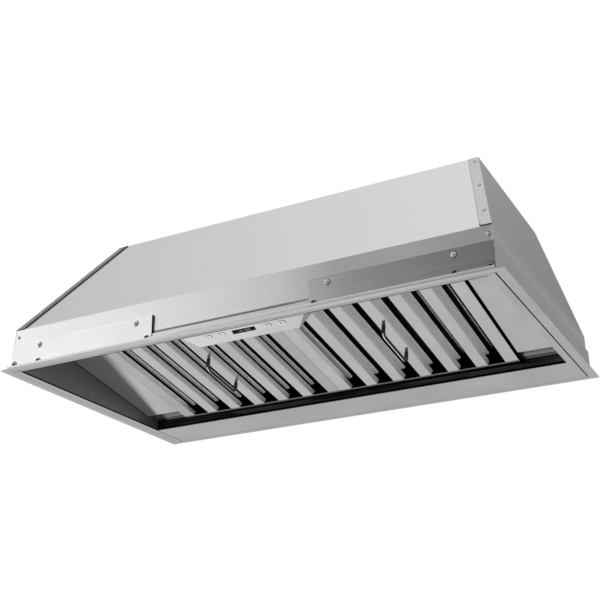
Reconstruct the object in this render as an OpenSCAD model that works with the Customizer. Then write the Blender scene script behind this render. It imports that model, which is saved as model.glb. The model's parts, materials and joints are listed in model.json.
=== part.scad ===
// Range hood insert: a galvanised casing on a stainless trim flange, with two
// hinged baffle filters, a control box, lamps, a blower and a damper collar.
// Millimetres. X runs to the right, Y to the rear and Z up. The origin is at
// the middle of the flange, on its underside.

/* [Flange and casing] */
// Width of the trim flange, left to right
flange_w = 1025; // [960:1:1200]
// Depth of the trim flange, front to rear
flange_d = 610; // [590:1:680]
// Height of the casing above the underside of the flange
casing_h = 342; // [336:1:420]
// Height of the fold where the skirt ends and the panels lean in
fold_z = 85.5; // [80:0.5:110]
// How far each side panel leans in at the top
side_lean = 79.5; // [30:0.5:100]
// How far the front panel slopes back at the top
front_setback = 215.5; // [120:0.5:235]
// Sheet of the galvanised casing
casing_sheet = 1.2; // [0.8:0.1:1.6]
// Height of the casing's lower edge above the underside of the flange
casing_foot = 6; // [3:0.5:8]
// Width of the seam strip that each side panel folds over the front
seam_w = 19; // [14:0.5:30]

/* [Stainless trim] */
// Sheet of the trim
trim_sheet = 1.5; // [1:0.1:2]
// Width of the flat rim outside the side upstand
side_lip = 16.2; // [12:0.1:24]
// Width of the flat rim in front of the front leg
front_lip = 11.5; // [8:0.1:20]
// Width of the flat rim behind the casing
rear_lip = 14; // [8:0.5:24]
// Height of the upstand at the sides and the rear
upstand_h = 58; // [40:1:70]
// Height of the hemmed front leg
front_leg_h = 18; // [14:0.5:30]
// Width of the strip beside the opening
channel_w = 15.4; // [10:0.1:24]
// Width of the strip in front of the opening
front_channel_w = 7.3; // [5:0.1:14]
// Depth of the rear shelf
shelf_d = 102.3; // [80:0.1:130]

/* [Bracket plates] */
// Width of each bracket plate
plate_w = 332; // [240:1:360]
// Height of each bracket plate
plate_h = 54; // [40:0.5:64]
// Height of the plate's lower edge
plate_foot = 1.5; // [1:0.1:4]
// Height of the folded hem along the plate's top
plate_hem_h = 16; // [14:0.5:20]

/* [Filters] */
// Width of a filler panel beside the filters
filler_w = 82.7; // [60:0.1:110]
// Thickness of a filter
filter_h = 30; // [27:0.5:36]
// Sheet of the filters
filter_sheet = 0.9; // [0.6:0.1:1.2]
// Tilt of the filters, front edge up
filter_tilt = 9.9; // [6:0.1:12]
// Gap between the two filters
seam_gap = 0.8; // [0.6:0.1:3]
// Gap between a filter and the filler panel beside it
side_gap = 5.5; // [2:0.1:10]
// Spacing of the baffles
baffle_pitch = 60; // [56:0.5:64]
// Width that the two edge flats of a filter take at least
edge_room = 61; // [60:1:80]
// Width of a trough's flat bottom
trough_flat = 23; // [18:0.5:28]
// Height of a trough's flank
flank_h = 9.4; // [6:0.2:13]
// How far a flank splays outwards
flank_splay = 3.4; // [1:0.2:5]
// Height of the hats' lips above the trough bottoms
lip_h = 18.5; // [15:0.5:20]
// Width of a hat's lip
lip_w = 15; // [10:0.5:16.5]
// Width of the opening between a hat's lips
hat_open = 24.5; // [20:0.5:26]
// How far each leg of a hat leans in
hat_lean = 2; // [0.5:0.1:4]
// Gap between the rear end of the hats and the filter's rear wall
hat_end_gap = 11.5; // [4:0.5:20]
// Radius of the hinge bead along the rear edge
bead_r = 2.5; // [2:0.1:3.5]
// Distance of the filter's rear wall from the bead's middle
web_d = 16; // [12:0.5:22]
// Height of the bead's middle above the underside of the flange
hinge_z = 13.9; // [11:0.1:16]
// Distance of the bead's middle in front of the shelf's edge
hinge_gap = 6.5; // [6:0.1:9]

/* [Handles] */
// Length of a handle over its legs
handle_l = 117; // [80:1:150]
// How far a handle stands below the filter
handle_drop = 25; // [18:0.5:26]
// Diameter of the handle wire
wire_d = 6; // [4:0.5:7]
// Distance of the handle's rear leg from the hinge bead
handle_from_hinge = 120; // [60:1:160]

/* [Control box] */
// Half width of the control box at its low edge
box_low_half = 105.4; // [96:0.1:120]
// Half width of the control box at the front wall
box_front_half = 160; // [150:1:180]
// Half width of the control box at its back
box_back_half = 139.5; // [130:0.5:150]
// Depth of the control box, front to back
box_d = 63; // [56:0.5:66]
// Height of the box's low edge
box_low_z = 4.5; // [3:0.1:8]
// Drop of the slanted face from the front wall to the low edge
box_drop = 31.3; // [26:0.1:34]
// Wall of the control box
box_wall = 2.5; // [2:0.1:3]
// Distance of the outer buttons from the middle
button_outer = 77; // [72:0.5:84]
// Distance of the inner buttons from the middle
button_inner = 48; // [44:0.5:52]
// Length of an oval button
button_l = 17; // [12:0.5:19]
// Width of an oval button
button_w = 9; // [7:0.5:10]
// Travel of a button
button_travel = 1.5; // [1:0.1:1.8]
// Width of the display window
display_w = 48; // [36:0.5:56]
// Height of the display window
display_h = 9.5; // [8:0.5:12]

/* [Lamps] */
// Distance of each lamp from the middle
lamp_x = 300; // [220:1:320]
// Outer diameter of a lamp bezel
bezel_d = 64; // [56:1:68]
// Diameter of a lamp lens
lens_d = 46; // [38:1:50]
// Height of the light panel above the underside of the flange
light_panel_z = 79; // [72:0.5:80]
// Depth of the light panel, front to back
light_panel_d = 78.5; // [74:0.5:90]

/* [Blower] */
// Diameter of the blower wheel
wheel_d = 184; // [150:1:188]
// Width of the blower wheel
wheel_w = 118; // [90:1:122]
// Number of blades
blade_count = 32; // [24:1:40]
// Width of the scroll between its cheeks
scroll_w = 138; // [130:1:138]
// Smallest radius of the scroll
scroll_r = 105; // [100:0.5:106]
// Growth of the scroll's radius each quarter turn
scroll_step = 10; // [6:0.5:12]
// Height of the scroll's outlet above the wheel's axis
outlet_rise = 136; // [126:0.5:136]
// Sheet of the blower housing
blower_sheet = 1; // [0.8:0.1:1.5]
// Radius of the inlets
inlet_r = 70; // [62:0.5:72]
// Diameter of the motor
motor_d = 96; // [80:1:100]
// Diameter of the motor shaft
shaft_d = 8; // [6:0.5:10]

/* [Duct collar] */
// Outer diameter of the duct collar
collar_d = 201; // [199:0.5:210]
// Height of the duct collar above the casing
collar_h = 50; // [44:1:54]
// Distance of the collar's middle from the casing's rear face
collar_to_rear = 145; // [125:1:150]
// Diameter of the damper rod
rod_d = 5; // [4:0.5:6]
// Height of the damper rod above the casing
rod_h = 29; // [20:0.5:31]

/* [Electrical parts] */
// Width of the junction box
box_w = 96; // [80:1:120]
// Depth of the junction box, front to back
box_depth = 70; // [60:1:90]
// Height of the junction box
box_h = 52; // [40:1:60]
// Sheet of the junction box
box_t = 1.2; // [0.8:0.1:1.5]
// Distance of the junction box's middle from the side of the opening
box_to_side = 160; // [150:1:220]
// Radius of the conduit hole
conduit_r = 11; // [9:0.5:14]
// Diameter of the motor capacitor
capacitor_d = 34; // [28:1:40]
// Length of the motor capacitor
capacitor_l = 58; // [45:1:70]

/* [Clearances] */
// Clearance between parts that move past each other
gap = 0.3; // [0.3:0.05:0.5]
// Radial clearance of a shaft in its bore
run = 0.06; // [0.03:0.01:0.09]

/* [Hidden] */

// Smoothness of round parts
$fn = 64;
// Overrun of every cut
over = 1;

// Faces of the casing and the trim, as distances from the origin
casing_x = flange_w / 2 - side_lip - trim_sheet;
casing_front = flange_d / 2 - front_lip - 2 * trim_sheet;
casing_rear = flange_d / 2 - rear_lip;
inner_x = casing_x - casing_sheet;
inner_front = casing_front - casing_sheet;
inner_rear = casing_rear - casing_sheet;
opening_x = inner_x - channel_w;
opening_front = inner_front - front_channel_w;
shelf_y = inner_rear - shelf_d;

// Slopes of the casing, measured from upright
rise = casing_h - fold_z;
lean_angle = atan2(side_lean, rise);
slope_angle = atan2(front_setback, rise);
slope_l = norm([front_setback, rise]);

// Hinge line of the filters and the line where their front edge swings down
hinge_y = shelf_y - hinge_gap;
filter_base = -bead_r;
swing_gap = 3;
light_panel_y = light_panel_d - opening_front;
swing_r = norm([hinge_y - light_panel_y - swing_gap, light_panel_z - hinge_z]);
filter_l = sqrt(pow(swing_r, 2) - pow(filter_h - bead_r, 2));
filler_x = opening_x - filler_w;
filter_w = filler_x - side_gap - seam_gap / 2;
trough_count = floor((filter_w - edge_room) / baffle_pitch);
filler_lift = 4;
join_rise = 2.5;
join_z = fold_z + join_rise;
filter_open = 70;
wall_front = -filter_l + filter_sheet;
wall_rear = -web_d - filter_sheet;
filter_top = filter_base + filter_h;
ledge_d = 14;
ledge_z = hinge_z + filter_l * sin(filter_tilt) + filter_top * cos(filter_tilt) + gap;

// Slanted face of the control box
box_y = box_d - opening_front;
box_tilt = atan2(box_drop, box_d);
face_l = norm([box_d, box_drop]);
button_s = 19.5;
button_proud = 0.8;
button_flange = 1.5;
button_flange_t = 1.2;
button_places = [-button_outer, -button_inner, button_inner, button_outer];
board_depth = 9;
board_half = box_low_half - 2 * box_wall;
board_low_s = 13;
board_w = 26;
post_places = [-0.95 * board_half, 0.95 * board_half];
post_s = board_low_s + board_w / 2;

// Places of the blower and its parts
blower_y = casing_rear - collar_to_rear - scroll_r / 2 - scroll_step;
blower_z = casing_h - casing_sheet - outlet_rise;
collar_y = casing_rear - collar_to_rear;
collar_t = 1;
collar_bore_r = collar_d / 2 - collar_t;

// Motor, knuckles, conduit and junction box
motor_reach = scroll_w / 2 + blower_sheet;
motor_nose = 14;
knuckle_wall = 1.2;
knuckle_r = rod_d / 2 + knuckle_wall;
conduit_x = opening_x - box_to_side;
conduit_y = inner_rear - box_depth * 0.6;

// Small screws and the places of the screws on a bracket plate, from its outer end
small_head_r = 3.4;
small_head_h = 1.8;
small_shank_r = 1.6;
pan_head_r = 5;
pan_head_h = 2.6;
pan_shank_r = 2.4;
plate_end = casing_x;
plate_front = casing_front + 3 * trim_sheet;
pan_from_end = [67, 296];
low_from_end = [67, 322];
pan_z = 44;
low_z = 10.5;
insert_from_end = 7;
insert_z = 12;
insert_r = 3.1;
insert_body_r = 4.2;
insert_flange_r = 5.6;
insert_l = 11;
skirt_screw_in = 8;
skirt_screw_z = 70;
strip_screw_shares = [0.19, 0.55, 0.93];
side_screw_from_rear = 50;
side_screw_z = 67;

// A block between two opposite corners
module block(low, high) translate(low) cube(high - low);

// The children and their mirror image on the other side
module both_sides() {
    children();
    mirror([1, 0, 0]) children();
}

// A profile drawn in Y and Z, run along X between two places
module run_x(from, to) translate([from, 0, 0]) rotate([90, 0, 90]) linear_extrude(to - from) children();

// A profile drawn in X and Z, run along Y between two places
module run_y(from, to) translate([0, to, 0]) rotate([90, 0, 0]) linear_extrude(to - from) children();

// A rod along X between two places
module rod_x(from, to, r) translate([from, 0, 0]) rotate([0, 90, 0]) cylinder(h = to - from, r = r);

// An oval lying along X
module oval(l, w) {
    square([l - w, w], center = true);
    for (side = [-1, 1]) translate([side * (l - w) / 2, 0]) circle(d = w);
}

// Distance from the middle of a leaning face, moved in by t, at height z
function lean_at(edge, angle, z, t) = edge - (t + (z - fold_z) * sin(angle)) / cos(angle);

// Height of the fold of a face that is moved in by t
function fold_at(angle, t) = fold_z - t * tan(angle / 2);

// The room inside the casing's faces, each moved in by its own distance
module envelope(side = 0, front = 0, rear = 0, top = 0, base = casing_foot) {
    crown = casing_h - top;
    half = casing_x - side;
    face = casing_front - front;
    intersection() {
        run_y(-flange_d, flange_d) polygon([
            [-half, base], [half, base], [half, fold_at(lean_angle, side)],
            [lean_at(casing_x, lean_angle, crown, side), crown],
            [-lean_at(casing_x, lean_angle, crown, side), crown],
            [-half, fold_at(lean_angle, side)]
        ]);
        run_x(-flange_w, flange_w) polygon([
            [-face, base], [casing_rear - rear, base], [casing_rear - rear, crown],
            [-lean_at(casing_front, slope_angle, crown, front), crown],
            [-face, fold_at(slope_angle, front)]
        ]);
    }
}

// Everything within the casing's sides, but beyond its other faces
module within_sides(t) envelope(side = t, front = -flange_d / 8, rear = -flange_d / 8, top = -over, base = -over);

// Frame on the sloped front: X across, Y up the slope, Z outwards
module on_slope() translate([0, -casing_front, fold_z]) rotate([90 - slope_angle, 0, 0]) children();

// Frame on the leaning right side: X up the side, Z outwards
module on_side() translate([casing_x, 0, fold_z]) rotate([0, 90 - lean_angle, 0]) children();

// A round-headed screw with its seat at the origin and its head along +Z
module screw(head_r, head_h, shank_r, shank_l) {
    crown_r = (head_r * head_r + head_h * head_h) / (2 * head_h);
    intersection() {
        cylinder(h = head_h, r = head_r);
        translate([0, 0, head_h - crown_r]) sphere(r = crown_r);
    }
    translate([0, 0, -shank_l]) cylinder(h = shank_l, r = shank_r);
}

module pan_screw(shank_l) screw(pan_head_r, pan_head_h, pan_shank_r, shank_l);
module small_screw(shank_l) screw(small_head_r, small_head_h, small_shank_r, shank_l);

// Where the pan screws of the right bracket plate stand, with Z towards the front
module at_plate_screws() {
    for (d = pan_from_end)
        translate([plate_end - d, -plate_front, pan_z]) rotate([90, 0, 0]) children();
    for (d = low_from_end)
        translate([plate_end - d, -plate_front, low_z]) rotate([90, 0, 0]) children();
}

module at_insert() translate([plate_end - insert_from_end, -plate_front, insert_z]) rotate([90, 0, 0]) children();

module at_skirt_screw()
    translate([casing_x - skirt_screw_in, -casing_front, skirt_screw_z]) rotate([90, 0, 0]) children();

module at_strip_screws() {
    for (share = strip_screw_shares) {
        s = share * slope_l;
        edge = lean_at(casing_x, lean_angle, fold_z + s * cos(slope_angle), 0);
        on_slope() translate([edge - seam_w / 2, s, casing_sheet]) children();
    }
}

module at_side_screw()
    translate([casing_x, casing_rear - side_screw_from_rear, side_screw_z]) rotate([0, 90, 0]) children();

// Holes that the fasteners of the front make through the sheets
module fastener_holes() {
    reach = 2 * plate_front - 2 * casing_front + insert_l;
    both_sides() {
        at_plate_screws() cylinder(h = reach, r = pan_shank_r, center = true);
        at_insert() cylinder(h = 2 * insert_l + over, r = insert_body_r, center = true);
        at_skirt_screw() cylinder(h = reach, r = small_shank_r, center = true);
        at_strip_screws() cylinder(h = reach, r = small_shank_r, center = true);
        at_side_screw() cylinder(h = reach, r = small_shank_r, center = true);
    }
}

// Stainless trim

module trim_flange() color("silver") difference() {
    leg_x = casing_x + trim_sheet;
    leg_front = casing_front + 2 * trim_sheet;
    union() {
        linear_extrude(trim_sheet) difference() {
            square([flange_w, flange_d], center = true);
            translate([-casing_x, -casing_front]) square([2 * casing_x, casing_front + casing_rear]);
        }
        difference() {
            block([-leg_x, -leg_front, 0], [leg_x, flange_d / 2, upstand_h]);
            block([-casing_x, -casing_front, -over], [casing_x, flange_d / 2 - trim_sheet, upstand_h + over]);
            block([-casing_x, -leg_front - over, front_leg_h], [casing_x, 0, upstand_h + over]);
        }
        block([-casing_x, casing_rear, 0], [casing_x, flange_d / 2, trim_sheet]);
    }
    fastener_holes();
}

// Channel beside the opening: outer leg on the casing, inner wall down from the filler panel
module side_channel() color("silver") {
    wall_top = light_panel_z + 2 * filler_lift;
    leg_h = casing_foot + upstand_h / 3;
    block([opening_x, -inner_front, 0], [inner_x, inner_rear, trim_sheet]);
    block([inner_x - trim_sheet, -inner_front, 0], [inner_x, inner_rear, leg_h]);
    run_x(opening_x, opening_x + trim_sheet) polygon([
        [-inner_front, 0], [inner_rear, 0], [inner_rear, leg_h], [hinge_y, leg_h + bead_r],
        [light_panel_y, wall_top], [-inner_front, wall_top]
    ]);
}

module right_channel() side_channel();
module left_channel() mirror([1, 0, 0]) side_channel();

module front_channel() color("silver") {
    leg_h = front_leg_h + plate_foot;
    difference() {
        run_x(-opening_x, opening_x) polygon([
            [-inner_front, 0], [-opening_front, 0], [-opening_front, join_z],
            [-opening_front - trim_sheet, join_z], [-opening_front - trim_sheet, trim_sheet],
            [-inner_front + trim_sheet, trim_sheet], [-inner_front + trim_sheet, leg_h], [-inner_front, leg_h]
        ]);
        fastener_holes();
    }
}

module rear_shelf() color("silver") {
    flange_up = hinge_z;
    run_x(-opening_x, opening_x) polygon([
        [shelf_y, 0], [inner_rear, 0], [inner_rear, flange_up + trim_sheet],
        [inner_rear - trim_sheet, flange_up + trim_sheet], [inner_rear - trim_sheet, trim_sheet],
        [shelf_y + trim_sheet, trim_sheet], [shelf_y + trim_sheet, flange_up], [shelf_y, flange_up]
    ]);
}

// Plate screwed to the front leg, its top hem resting on the casing
module bracket_plate() color("gainsboro") difference() {
    top = plate_foot + plate_h;
    union() {
        block([plate_end - plate_w, -plate_front, plate_foot], [plate_end, -plate_front + trim_sheet, top]);
        block([plate_end - plate_w, -plate_front, top - plate_hem_h], [plate_end, -casing_front, top]);
    }
    fastener_holes();
}

module right_bracket_plate() bracket_plate();
module left_bracket_plate() mirror([1, 0, 0]) bracket_plate();

module bracket_screws() color("lightgray") both_sides()
    at_plate_screws() pan_screw(plate_front - inner_front);

// Threaded inserts for the installer's brackets
module mounting_inserts() color("dimgray") both_sides() at_insert() difference() {
    union() {
        cylinder(h = trim_sheet / 2, r = insert_flange_r);
        translate([0, 0, -insert_l]) cylinder(h = insert_l, r = insert_body_r);
    }
    translate([0, 0, -insert_l - over]) cylinder(h = insert_l + 2 * over, r = insert_r);
}

// Galvanised casing

// The sheet of the front, skirt and slope together
module front_sheet() difference() {
    envelope(side = casing_sheet);
    envelope(side = -over, front = casing_sheet, rear = -over, top = -over, base = -over);
    fastener_holes();
}

// Everything below the seam between the skirt and the sloped panel
module below_seam() block([-flange_w, -flange_d, -over], [flange_w, flange_d, fold_at(slope_angle, casing_sheet)]);

module front_panel() color("lightgray") difference() {
    front_sheet();
    below_seam();
}

module front_skirt() color("silver") intersection() {
    front_sheet();
    below_seam();
}

module side_panel() color("darkgray") difference() {
    union() {
        difference() {
            envelope();
            within_sides(casing_sheet);
        }
        difference() {
            envelope(front = -casing_sheet);
            envelope(side = -over, rear = -over, top = -over, base = -over);
            within_sides(seam_w);
            block([-flange_w, -flange_d, -over], [flange_w, flange_d, fold_z + casing_sheet]);
        }
    }
    block([-flange_w, -flange_d, -over], [0, flange_d, casing_h + over]);
    fastener_holes();
}

module right_side_panel() side_panel();
module left_side_panel() mirror([1, 0, 0]) side_panel();

module rear_panel() color("darkgray") difference() {
    envelope(side = casing_sheet, front = casing_sheet);
    envelope(side = -over, front = -over, rear = casing_sheet, top = -over, base = -over);
}

module top_panel() color("darkgray") difference() {
    envelope(side = casing_sheet, front = casing_sheet, rear = casing_sheet);
    block([-flange_w, -flange_d, -over], [flange_w, flange_d, casing_h - casing_sheet]);
    translate([0, collar_y, 0]) cylinder(h = casing_h + over, r = collar_bore_r);
    translate([conduit_x, conduit_y, 0]) cylinder(h = casing_h + over, r = conduit_r);
}

module seam_screws() color("gray") both_sides() {
    at_strip_screws() small_screw(2 * casing_sheet);
    at_skirt_screw() small_screw(casing_sheet);
    at_side_screw() small_screw(casing_sheet);
}

// Rail, fillers and light panel round the filters

// Rear rail: an upright plate with an open gutter that holds the filters' beads
module filter_rail() color("dimgray") {
    plate_top = 2 * hinge_z;
    gutter_r = bead_r + run + filter_sheet;
    open_up = 27;
    open_spare = 10;
    open_down = -filter_open - open_spare;
    wedge_r = 3 * gutter_r;
    run_x(-opening_x, opening_x) polygon([
        [shelf_y, trim_sheet / 2], [shelf_y, plate_top], [inner_rear - shelf_d + plate_top, plate_top],
        [inner_rear - shelf_d + plate_top, plate_top + trim_sheet], [shelf_y - trim_sheet, plate_top + trim_sheet],
        [shelf_y - trim_sheet, trim_sheet / 2]
    ]);
    both_sides() translate([0, hinge_y, hinge_z]) difference() {
        union() {
            rod_x(seam_gap / 2, seam_gap / 2 + filter_w, gutter_r);
            block([seam_gap / 2, 0, -filter_sheet], [seam_gap / 2 + filter_w, hinge_gap - trim_sheet, filter_sheet]);
        }
        rod_x(0, filler_x, bead_r + run);
        run_x(0, filler_x) polygon([
            [0, 0], [-wedge_r * cos(open_up), wedge_r * sin(open_up)], [-wedge_r, 0],
            [-wedge_r * cos(open_down / 2), wedge_r * sin(open_down / 2)],
            [-wedge_r * cos(open_down), wedge_r * sin(open_down)]
        ]);
    }
}

module filler_panel() color("silver") difference() {
    lift = filter_base + filler_lift;
    step_y = -hinge_gap * 6;
    wall = filter_sheet * 1.5;
    translate([filler_x, hinge_y, hinge_z]) rotate([-filter_tilt, 0, 0]) {
        block([0, light_panel_y - hinge_y - filter_h, lift], [filler_w, step_y, lift + wall]);
        block([0, step_y - wall, lift], [filler_w, step_y, lift + 2 * filler_lift]);
        block([0, step_y - wall, lift + 2 * filler_lift - wall], [filler_w, filter_h, lift + 2 * filler_lift]);
        block([0, light_panel_y - hinge_y - filter_h, lift], [wall, step_y, lift + filter_h / 2]);
    }
    block([0, shelf_y - trim_sheet, 0], [flange_w, flange_d, casing_h]);
    block([0, -flange_d, 0], [flange_w, light_panel_y, casing_h]);
}

module right_filler_panel() filler_panel();
module left_filler_panel() mirror([1, 0, 0]) filler_panel();

// Front panel of the opening: lamp shelf, rear upright and the ledge over the filters
module light_panel() color("silver") difference() {
    t = casing_sheet;
    run_x(-opening_x, opening_x) polygon([
        [-opening_front, light_panel_z], [light_panel_y, light_panel_z], [light_panel_y, ledge_z],
        [light_panel_y + ledge_d, ledge_z], [light_panel_y + ledge_d, ledge_z + t],
        [light_panel_y - t, ledge_z + t], [light_panel_y - t, light_panel_z + t],
        [-opening_front + t, light_panel_z + t], [-opening_front + t, join_z], [-opening_front, join_z]
    ]);
    both_sides() at_lamp() cylinder(h = casing_h, r = lens_d / 2 + casing_sheet, center = true);
}

module at_lamp() translate([lamp_x, (light_panel_y - opening_front) / 2, light_panel_z]) children();

module lamp_bezels() color("whitesmoke") both_sides() at_lamp() difference() {
    union() {
        translate([0, 0, -casing_sheet]) cylinder(h = casing_sheet, r1 = bezel_d / 2 - casing_sheet, r2 = bezel_d / 2);
        cylinder(h = 4 * casing_sheet, r = lens_d / 2 + casing_sheet);
    }
    translate([0, 0, -2 * casing_sheet]) cylinder(h = 8 * casing_sheet, r = lens_d / 2);
}

module lamp_lenses() color("white") both_sides() at_lamp()
    translate([0, 0, -casing_sheet / 2]) cylinder(h = 3 * casing_sheet, r = lens_d / 2);

module lamp_bodies() color("gray") both_sides() at_lamp() translate([0, 0, 4 * casing_sheet]) {
    fin_t = 2 * casing_sheet;
    cylinder(h = lens_d / 4, r = lens_d / 2 + casing_sheet);
    for (i = [0:3]) translate([0, 0, lens_d / 4 + i * fin_t]) cylinder(h = fin_t, r = lens_d / 2 - (i % 2) * fin_t);
}

// Control box

// All that lies inside the right side of the box: upright above its front edge, slanted below
module box_side() {
    plan_angle = atan2(box_front_half - box_back_half, box_d);
    slant = [(box_back_half - box_low_half) * cos(plan_angle), box_drop];
    translate([box_back_half, box_y, box_low_z + box_drop]) rotate([0, 0, plan_angle])
        run_y(-flange_d, flange_d) polygon([
            [0, light_panel_z], [0, 0], -2 * slant, [-flange_w, -2 * box_drop], [-flange_w, light_panel_z]
        ]);
}

// Frame on the slanted face: X across, Y up the face from its low edge, Z outwards
module on_face() translate([0, box_y, box_low_z]) rotate([180 - box_tilt, 0, 0]) children();

module at_button(x) on_face() translate([x, button_s, 0]) children();

module control_box() color("whitesmoke") {
    top_z = box_low_z + box_drop;
    front_y = -opening_front;
    cavity_half = box_low_half - box_wall;
    floor_z = box_low_z + box_wall / cos(box_tilt) + box_wall * tan(box_tilt);
    difference() {
        intersection() {
            run_x(-flange_w / 2, flange_w / 2) polygon([
                [front_y, light_panel_z], [front_y, top_z], [box_y, box_low_z], [box_y, light_panel_z]
            ]);
            box_side();
            mirror([1, 0, 0]) box_side();
        }
        run_x(-cavity_half, cavity_half) polygon([
            [box_y - box_wall, floor_z], [box_y - box_wall, light_panel_z + over],
            [front_y + box_wall, light_panel_z + over],
            [front_y + box_wall, floor_z + (box_d - 2 * box_wall) * tan(box_tilt)]
        ]);
        for (x = button_places) at_button(x)
            linear_extrude(4 * box_wall, center = true) oval(button_l + 2 * gap, button_w + 2 * gap);
        on_face() translate([-display_w / 2, button_s - display_h / 2, -2 * box_wall])
            cube([display_w, display_h, 4 * box_wall]);
    }
    on_face() for (x = post_places)
        translate([x, post_s, -box_wall - board_depth]) cylinder(h = board_depth, r = box_wall);
}

module display_window() color("black") on_face() {
    rim = box_wall;
    translate([-display_w / 2, button_s - display_h / 2, -box_wall]) cube([display_w, display_h, box_wall]);
    translate([-display_w / 2 - rim, button_s - display_h / 2 - rim, -2 * box_wall])
        cube([display_w + 2 * rim, display_h + 2 * rim, box_wall]);
}

// Board with a switch behind each button and the display block in the middle
module control_board() color("darkgreen") on_face() {
    board_t = 1.6;
    switch_top = -box_wall - gap - button_flange_t - button_travel - gap;
    switch_w = 5;
    back = -box_wall - board_depth;
    translate([-board_half, board_low_s, back - board_t]) cube([2 * board_half, board_w, board_t]);
    for (x = button_places) translate([x - switch_w / 2, button_s - switch_w / 2, back])
        cube([switch_w, switch_w, switch_top - back]);
    translate([-display_w / 2, button_s - display_h / 2, back]) cube([display_w, display_h, -2 * box_wall - back]);
}

// Oval cap with a flange that stops behind the face
module button(x) color("whitesmoke") at_button(x) {
    stem = box_wall + gap + button_proud;
    translate([0, 0, button_proud - stem]) linear_extrude(stem) oval(button_l, button_w);
    translate([0, 0, button_proud - stem - button_flange_t]) linear_extrude(button_flange_t)
        oval(button_l + 2 * button_flange, button_w + 2 * button_flange);
}

module light_button() button(button_places[0]);
module speed_down_button() button(button_places[1]);
module speed_up_button() button(button_places[2]);
module power_button() button(button_places[3]);

// Blower

module at_blower() translate([0, blower_y, blower_z]) children();

// Room inside the scroll, grown by t: three arcs of growing radius and the outlet
module scroll_room(t) {
    c = scroll_step / 2;
    r = [scroll_r + t, scroll_r + scroll_step + t, scroll_r + 2 * scroll_step + t];
    square([2 * c, 2 * c], center = true);
    intersection() {
        translate([-c, -c]) circle(r = r[0]);
        translate([-c - r[0], -c]) square([r[0], r[0]]);
    }
    intersection() {
        translate([c, -c]) circle(r = r[1]);
        translate([c - r[1], -c - r[1]]) square([r[1], r[1]]);
    }
    intersection() {
        translate([c, c]) circle(r = r[2]);
        translate([c, c - r[2]]) square([r[2], r[2]]);
    }
    translate([-c - t, c]) square([2 * c + r[2] + t, outlet_rise - c]);
}

module blower_wrap() color("silver") at_blower() run_x(-scroll_w / 2, scroll_w / 2) difference() {
    scroll_room(blower_sheet);
    scroll_room(0);
}

module blower_cheek() color("silver") at_blower() {
    x = scroll_w / 2;
    difference() {
        run_x(x, x + blower_sheet) scroll_room(blower_sheet);
        rod_x(0, x + over + blower_sheet, inlet_r);
    }
    difference() {
        rod_x(wheel_w / 2, x, inlet_r + blower_sheet);
        rod_x(0, x + over, inlet_r);
    }
}

module right_blower_cheek() blower_cheek();
module left_blower_cheek() mirror([1, 0, 0]) blower_cheek();

// Angles that hang the scroll from the top panel, reaching past the hole under the collar
module blower_hangers() color("gray") both_sides() {
    x = scroll_w / 2 + blower_sheet;
    top = casing_h - casing_sheet;
    leg = 24;
    reach = collar_bore_r + leg;
    t = 2 * blower_sheet;
    translate([0, collar_y - leg, 0]) run_y(0, 2 * leg) polygon([
        [x, top], [reach, top], [reach, top - t], [x + t, top - t], [x + t, top - leg], [x, top - leg]
    ]);
}

module motor() color("dimgray") at_blower() difference() {
    body_l = motor_reach - motor_nose;
    cap_l = body_l / 5;
    union() {
        rod_x(-motor_reach, -motor_nose - cap_l, motor_d / 2);
        rod_x(-motor_nose - cap_l, -motor_nose, motor_d / 3);
    }
    rod_x(-motor_reach + cap_l, 0, shaft_d / 2 + run);
}

module motor_bracket() color("gray") at_blower() {
    t = 2.5;
    arm_w = 18;
    arm_l = inlet_r + arm_w;
    run_x(-motor_reach - t, -motor_reach) {
        circle(r = motor_d / 3);
        for (i = [0:2]) rotate(30 + 120 * i) translate([0, -arm_w / 2]) square([arm_l, arm_w]);
    }
}

// Squirrel-cage wheel with forward-curved blades between two rings and a middle disc
module blower_wheel() color("gray") at_blower() {
    r = wheel_d / 2;
    ring = 12;
    t = 1.2;
    in = t / 2;
    blade_r = 14;
    hub_l = 10;
    half = wheel_w / 2;
    for (x = [-half, half - 2 * t]) run_x(x, x + 2 * t) difference() {
        circle(r = r);
        circle(r = r - ring);
    }
    run_x(-t, t) circle(r = r);
    run_x(-2 * t, hub_l) circle(r = 1.5 * shaft_d);
    run_x(in - half, half - in) for (i = [0:blade_count - 1]) rotate(360 * i / blade_count)
        intersection() {
            translate([r - ring / 2, -blade_r]) difference() {
                circle(r = blade_r + t / 2);
                circle(r = blade_r - t / 2);
            }
            difference() {
                circle(r = r - in);
                circle(r = r - ring + in);
            }
            translate([0, -blade_r / 2]) square([r, blade_r]);
        }
    rod_x(-motor_reach + (motor_reach - motor_nose) / 5 + gap, hub_l + shaft_d / 2, shaft_d / 2);
}

// Duct collar and dampers

module at_collar() translate([0, collar_y, casing_h]) children();

module duct_collar() color("silver") at_collar() difference() {
    plate = collar_d * 1.16;
    stop_w = 6;
    bead = 1.5;
    union() {
        difference() {
            union() {
                translate([-plate / 2, -plate / 2, 0]) cube([plate, plate, casing_sheet]);
                cylinder(h = collar_h, r = collar_d / 2);
            }
            translate([0, 0, -over]) cylinder(h = collar_h + 2 * over, r = collar_bore_r);
        }
        translate([0, 0, rod_h - knuckle_r - gap - bead]) difference() {
            cylinder(h = bead, r = collar_bore_r + collar_t / 2);
            translate([0, 0, -over]) cylinder(h = bead + 2 * over, r = collar_bore_r - stop_w);
        }
    }
    translate([0, 0, rod_h]) rod_x(-collar_d, collar_d, rod_d / 2);
}

module damper_rod() color("gray") at_collar() translate([0, 0, rod_h])
    rod_x(-collar_d / 2, collar_d / 2, rod_d / 2);

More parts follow.
